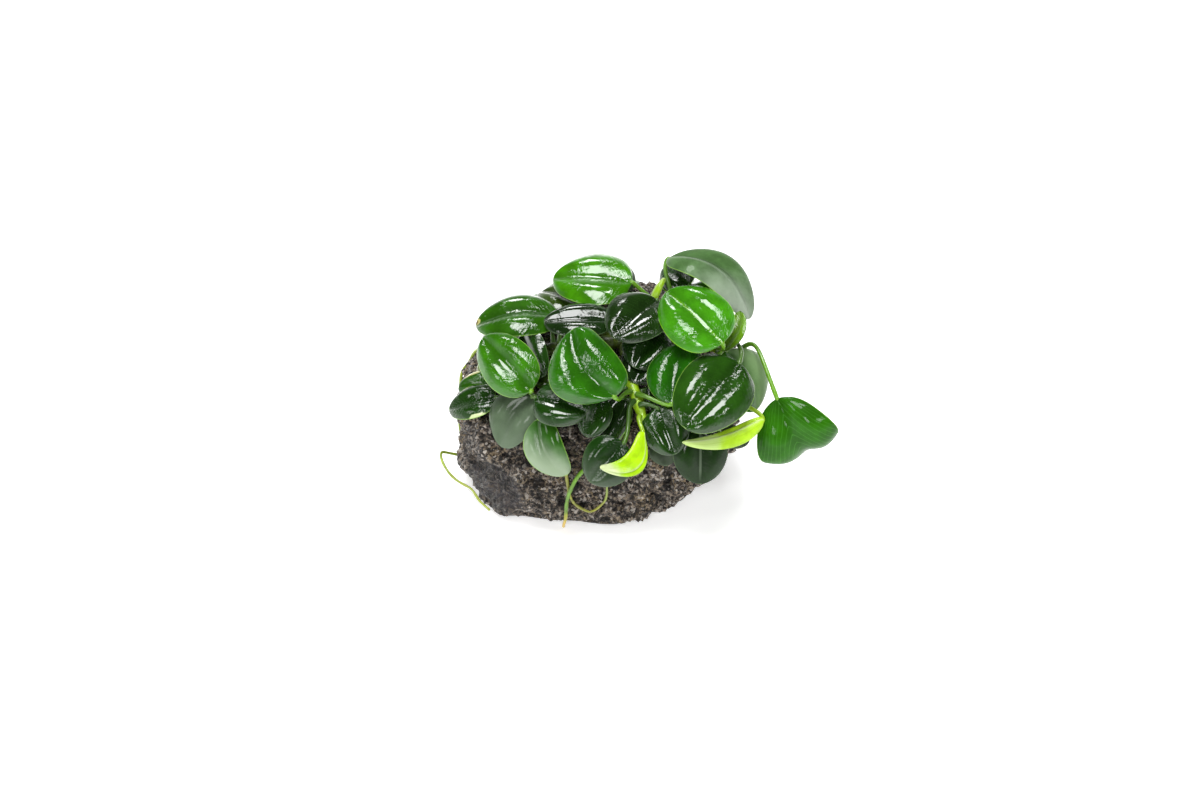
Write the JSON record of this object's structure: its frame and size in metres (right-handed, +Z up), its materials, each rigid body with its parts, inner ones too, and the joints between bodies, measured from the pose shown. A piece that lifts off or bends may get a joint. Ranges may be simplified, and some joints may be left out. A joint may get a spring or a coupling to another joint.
{
  "type": "anubias on stone",
  "caption": "Dwarf water plant with glossy oval leaves on short stalks, creeping rhizomes and hanging roots, growing on a rounded lump of dark porous stone.",
  "frame": {"origin": "middle of the stone's flat underside", "axes": "+X to the right along the object's longest extent, +Y to the back, +Z up"},
  "size_m": [0.1195, 0.0876, 0.071],
  "materials": {
    "stone": "rough, pitted, slightly glittering",
    "rhizome": null,
    "root": null,
    "leaf_bright": null,
    "leaf_dark": null,
    "leaf_pale": null,
    "young_leaf": null
  },
  "bodies": {
    "root": {"leaf_back_grey": "leaf_pale", "leaf_back_left_high": "leaf_bright", "leaf_back_left_low": "leaf_dark", "leaf_back_mid": "leaf_bright", "leaf_back_mid_left": "leaf_pale", "leaf_back_right": "leaf_dark", "leaf_back_top_dark": "leaf_dark", "leaf_behind_left": "leaf_bright", "leaf_big_dark": "leaf_dark", "leaf_bright_left": "leaf_bright", "leaf_bright_right": "leaf_bright", "leaf_centre": "leaf_bright", "leaf_curled_right": "leaf_bright", "leaf_dark_left_mid": "leaf_dark", "leaf_dark_narrow": "leaf_dark", "leaf_drooping_right": "leaf_bright", "leaf_far_left": "leaf_bright", "leaf_grey_left": "leaf_pale", "leaf_left_torn": "leaf_bright", "leaf_left_under": "leaf_bright", "leaf_low_behind": "leaf_dark", "leaf_low_left": "leaf_pale", "leaf_low_mid": "leaf_pale", "leaf_low_mid_dark": "leaf_dark", "leaf_low_pale": "leaf_pale", "leaf_low_right": "leaf_dark", "leaf_low_right_dark": "leaf_dark", "leaf_low_right_small": "leaf_pale", "leaf_mid_right": "leaf_bright", "leaf_olive_mid": "leaf_dark", "leaf_right_back": "leaf_bright", "leaf_right_behind": "leaf_pale", "leaf_round_dark": "leaf_dark", "leaf_slit": "leaf_dark", "leaf_stack_low": "leaf_dark", "leaf_stack_mid": "leaf_dark", "leaf_top_dark": "leaf_dark", "leaf_top_left": "leaf_bright", "leaf_top_right": "leaf_pale", "rhizome_back": "rhizome", "rhizome_back_right": "rhizome", "rhizome_front": "rhizome", "rhizome_left": "rhizome", "rhizome_main": "rhizome", "root_back": "root", "root_back_left": "root", "root_front_loop": "root", "root_front_thick": "root", "root_left_loop": "root", "stone": "stone", "young_front": "young_leaf", "young_right": "young_leaf", "young_top": "young_leaf"}
  },
  "joints": []
}
